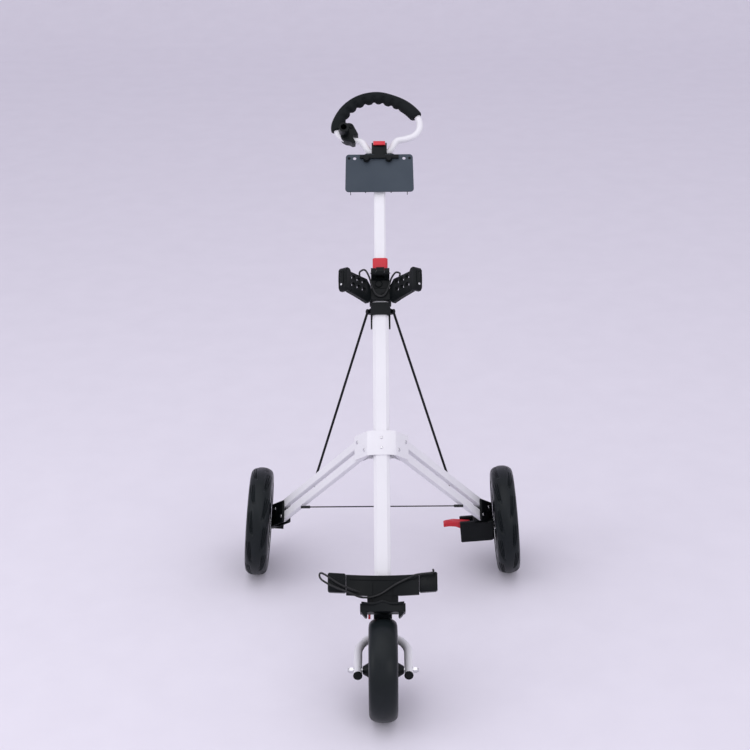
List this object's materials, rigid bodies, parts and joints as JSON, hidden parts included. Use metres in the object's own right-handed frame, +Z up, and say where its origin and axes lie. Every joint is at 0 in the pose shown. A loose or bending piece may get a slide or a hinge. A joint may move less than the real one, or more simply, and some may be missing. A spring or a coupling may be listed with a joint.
{
  "type": "golf push trolley",
  "caption": "Folding three-wheel push trolley for a golf bag: leaning tube frame, bag brackets, folding legs and fork, looped handle, parking brake.",
  "frame": {"origin": "on the ground under the middle of the footprint", "axes": "+Z up, -Y towards the front wheel, +X to the side with the brake pedal"},
  "size_m": [0.71, 1.0454, 1.1939],
  "materials": {
    "white_paint": "satin white powder coat",
    "black_plastic": "fine-grained black moulded plastic",
    "tyre_rubber": "smooth dark foam-filled tyre skin",
    "grip_foam": "soft black foam",
    "red_plastic": "satin red moulded plastic",
    "slate_plastic": "fine-grained slate grey plastic",
    "bright_steel": "bright plated steel",
    "black_cord": "woven black cord",
    "black_rod": "black coated steel rod"
  },
  "bodies": {
    "main_frame": {"lower_tube": "white_paint", "leg_bracket_front": "white_paint", "leg_bracket_rear": "white_paint", "ear_pin_right": "bright_steel", "ear_pin_left": "bright_steel", "frame_foot": "black_plastic", "fork_hinge_pin": "bright_steel", "lower_cradle": "black_plastic", "cradle_block_right": "black_plastic", "cradle_block_left": "black_plastic", "bag_ledge": "black_plastic", "lower_bungee": "black_cord", "bracket_hub": "black_plastic", "bracket_arm_right": "black_plastic", "bracket_arm_left": "black_plastic", "arm_pad_right": "black_plastic", "arm_pad_left": "black_plastic", "upper_bungee": "black_cord", "hinge_base": "black_plastic", "fold_hinge_pin": "bright_steel"},
    "upper_frame": {"upper_tube": "white_paint", "hinge_head": "black_plastic", "clamp_body": "black_plastic", "panel_bar": "black_plastic", "scorecard_panel": "slate_plastic"},
    "fold_latch": {"fold_latch": "red_plastic"},
    "handle": {"handle_loop": "white_paint", "grip": "grip_foam", "umbrella_clamp": "black_plastic", "umbrella_socket": "black_plastic"},
    "clamp_lever": {"clamp_lever": "red_plastic"},
    "leg_upper_right": {"upper_arm_right": "white_paint"},
    "leg_upper_left": {"upper_arm_left": "white_paint"},
    "leg_lower_right": {"lower_arm_right": "white_paint", "brake_cable_right": "black_cord"},
    "leg_lower_left": {"lower_arm_left": "white_paint", "brake_cable_left": "black_cord"},
    "carrier_right": {"wheel_bracket_right": "black_plastic", "rear_axle_right": "bright_steel", "brake_housing": "black_plastic"},
    "carrier_left": {"wheel_bracket_left": "black_plastic", "rear_axle_left": "bright_steel"},
    "wheel_right": {"rear_tyre_right": "tyre_rubber", "rear_rim_right": "black_plastic"},
    "wheel_left": {"rear_tyre_left": "tyre_rubber", "rear_rim_left": "black_plastic"},
    "brake_pedal": {"brake_pedal": "red_plastic"},
    "brake_pin": {"brake_pin": "bright_steel"},
    "collar": {"strut_collar": "black_plastic"},
    "strut_right": {"strut_right": "black_rod"},
    "strut_left": {"strut_left": "black_rod"},
    "fork": {"fork_tube": "white_paint", "fork_yoke": "black_plastic", "fork_cap_right": "black_plastic", "fork_cap_left": "black_plastic", "front_axle": "bright_steel"},
    "front_wheel": {"front_tyre": "tyre_rubber", "front_rim": "black_plastic"},
    "fork_release": {"fork_release": "red_plastic"}
  },
  "joints": [
    {"name": "handle_fold", "type": "hinge", "parent": "main_frame", "child": "upper_frame", "pos_m": [0, 0.17964, 0.84132], "axis": [1, 0, 0], "range_deg": [0, 165]},
    {"name": "fold_latch_slide", "type": "slide", "parent": "upper_frame", "child": "fold_latch", "axis": [0, 0.6401, 0.7683], "range_m": [0, 0.012], "stiffness_N_per_m": 150, "springref_m": -0.004},
    {"name": "handle_tilt", "type": "hinge", "parent": "upper_frame", "child": "handle", "pos_m": [0, 0.4138, 1.06612], "axis": [1, 0, 0], "range_deg": [-25, 60]},
    {"name": "clamp_lever_flip", "type": "hinge", "parent": "upper_frame", "child": "clamp_lever", "pos_m": [0, 0.43031, 1.0797], "axis": [-1, 0, 0], "range_deg": [0, 70]},
    {"name": "leg_fold", "type": "hinge", "parent": "main_frame", "child": "leg_upper_right", "pos_m": [0.0485, -0.02543, 0.49101], "axis": [-0.8664, 0.3836, -0.3196], "range_deg": [0, 50]},
    {"name": "leg_fold_left", "type": "hinge", "parent": "main_frame", "child": "leg_upper_left", "pos_m": [-0.0485, -0.02543, 0.49101], "axis": [-0.8664, -0.3836, 0.3196], "range_deg": [0, 50]},
    {"name": "lower_arm_fold_right", "type": "hinge", "parent": "main_frame", "child": "leg_lower_right", "pos_m": [0.03202, -0.06327, 0.49026], "axis": [-0.8664, 0.3836, -0.3196], "range_deg": [0, 50], "deforming": ["brake_cable_right"]},
    {"name": "carrier_swing_right", "type": "hinge", "parent": "leg_upper_right", "child": "carrier_right", "pos_m": [0.26309, 0.20735, 0.18869], "axis": [-0.8664, 0.3836, -0.3196], "range_deg": [-50, 0]},
    {"name": "lower_arm_fold_left", "type": "hinge", "parent": "main_frame", "child": "leg_lower_left", "pos_m": [-0.03202, -0.06327, 0.49026], "axis": [-0.8664, -0.3836, 0.3196], "range_deg": [0, 50], "deforming": ["brake_cable_left"]},
    {"name": "carrier_swing_left", "type": "hinge", "parent": "leg_upper_left", "child": "carrier_left", "pos_m": [-0.26309, 0.20735, 0.18869], "axis": [-0.8664, -0.3836, 0.3196], "range_deg": [-50, 0]},
    {"name": "collar_slide", "type": "slide", "parent": "main_frame", "child": "collar", "axis": [0, -0.6401, -0.7683], "range_m": [0, 0.11359]},
    {"name": "strut_swing_right", "type": "hinge", "parent": "collar", "child": "strut_right", "pos_m": [0.03058, 0.17334, 0.74374], "axis": [-0.8664, 0.3836, -0.3196], "range_deg": [0, 18.56]},
    {"name": "wheel_spin_right", "type": "hinge", "parent": "carrier_right", "child": "wheel_right", "pos_m": [0.317, 0.233, 0.13998], "axis": [0.9969, 0, 0.0785], "continuous": true},
    {"name": "strut_swing_left", "type": "hinge", "parent": "collar", "child": "strut_left", "pos_m": [-0.03058, 0.17334, 0.74374], "axis": [-0.8664, -0.3836, 0.3196], "range_deg": [0, 18.56]},
    {"name": "wheel_spin_left", "type": "hinge", "parent": "carrier_left", "child": "wheel_left", "pos_m": [-0.317, 0.233, 0.13998], "axis": [0.9969, 0, -0.0785], "continuous": true},
    {"name": "brake_press", "type": "hinge", "parent": "carrier_right", "child": "brake_pedal", "pos_m": [0.21498, 0.19325, 0.14901], "axis": [0, -1, 0], "range_deg": [0, 22]},
    {"name": "brake_pin_slide", "type": "slide", "parent": "carrier_right", "child": "brake_pin", "axis": [0.9969, 0, 0.0785], "range_m": [0, 0.0101]},
    {"name": "fork_fold", "type": "hinge", "parent": "main_frame", "child": "fork", "pos_m": [0, -0.27201, 0.20003], "axis": [1, 0, 0], "range_deg": [0, 115]},
    {"name": "front_wheel_spin", "type": "hinge", "parent": "fork", "child": "front_wheel", "pos_m": [0, -0.407, 0.116], "axis": [1, 0, 0], "continuous": true},
    {"name": "fork_release_lift", "type": "hinge", "parent": "main_frame", "child": "fork_release", "pos_m": [0, -0.27201, 0.20003], "axis": [-1, 0, 0], "range_deg": [0, 15], "stiffness_Nm_per_rad": 0.2, "springref_deg": -11.46}
  ],
  "couplings": [
    {"joint": "leg_fold_left", "follows": "leg_fold", "ratio": 1},
    {"joint": "lower_arm_fold_right", "follows": "leg_fold", "ratio": 1},
    {"joint": "carrier_swing_right", "follows": "leg_fold", "ratio": -1},
    {"joint": "lower_arm_fold_left", "follows": "leg_fold", "ratio": 1},
    {"joint": "carrier_swing_left", "follows": "leg_fold", "ratio": -1},
    {"joint": "collar_slide", "follows": "leg_fold", "m_per_rad": 0.12993},
    {"joint": "strut_swing_right", "follows": "leg_fold", "ratio": 0.37011},
    {"joint": "strut_swing_left", "follows": "leg_fold", "ratio": 0.37011},
    {"joint": "brake_pin_slide", "follows": "brake_press", "m_per_rad": 0.026044}
  ]
}
